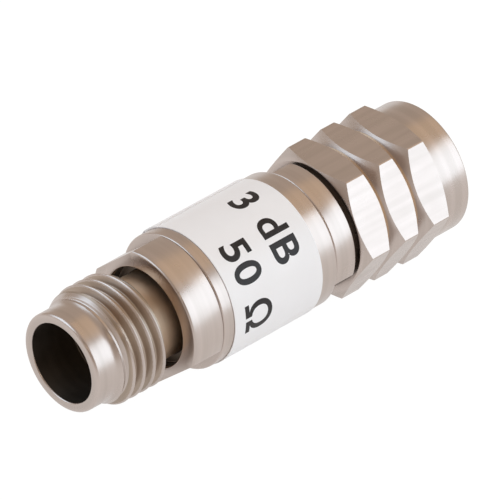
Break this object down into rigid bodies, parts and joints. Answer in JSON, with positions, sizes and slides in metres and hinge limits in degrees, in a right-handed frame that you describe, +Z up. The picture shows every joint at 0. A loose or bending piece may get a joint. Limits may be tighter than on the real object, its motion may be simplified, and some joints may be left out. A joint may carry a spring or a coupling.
{
  "type": "rf attenuator",
  "caption": "In-line coaxial attenuator: threaded female jack, round labelled barrel, and male plug whose grooved hexagon coupling nut turns and floats on its neck.",
  "frame": {"origin": "centre of the jack's mouth, on the axis", "axes": "+X along the axis from the jack's mouth to the plug's nut, +Z up and square to a flat of the nut"},
  "size_m": [0.0275, 0.0092, 0.0082],
  "materials": {
    "steel": "turned, passivated",
    "nut_steel": "milled flats, turned grooves",
    "label": "satin film",
    "contact": "gold plated",
    "bead": "moulded",
    "clamp": "turned, plated",
    "holder": "milled",
    "card": "fired ceramic",
    "spring": "spring temper"
  },
  "bodies": {
    "body": {"jack_shell": "steel", "jack_contact": "contact", "jack_bead": "bead", "jack_bead_clamp": "clamp", "body_tube": "steel", "label": "label", "card_holder_upper": "holder", "card_holder_lower": "holder", "attenuator_card": "card", "disc_spring": "spring", "plug_shell": "steel", "plug_pin": "contact", "plug_bead": "bead", "plug_bead_clamp": "clamp"},
    "ring": {"nut_retaining_ring": "spring"},
    "nut": {"coupling_nut": "nut_steel"}
  },
  "joints": [
    {"name": "nut_float", "type": "slide", "parent": "body", "child": "ring", "axis": [1, 0, 0], "range_m": [-0.00035, 0]},
    {"name": "nut_spin", "type": "hinge", "parent": "ring", "child": "nut", "pos_m": [0.0232, 0, 0], "axis": [1, 0, 0], "continuous": true}
  ]
}
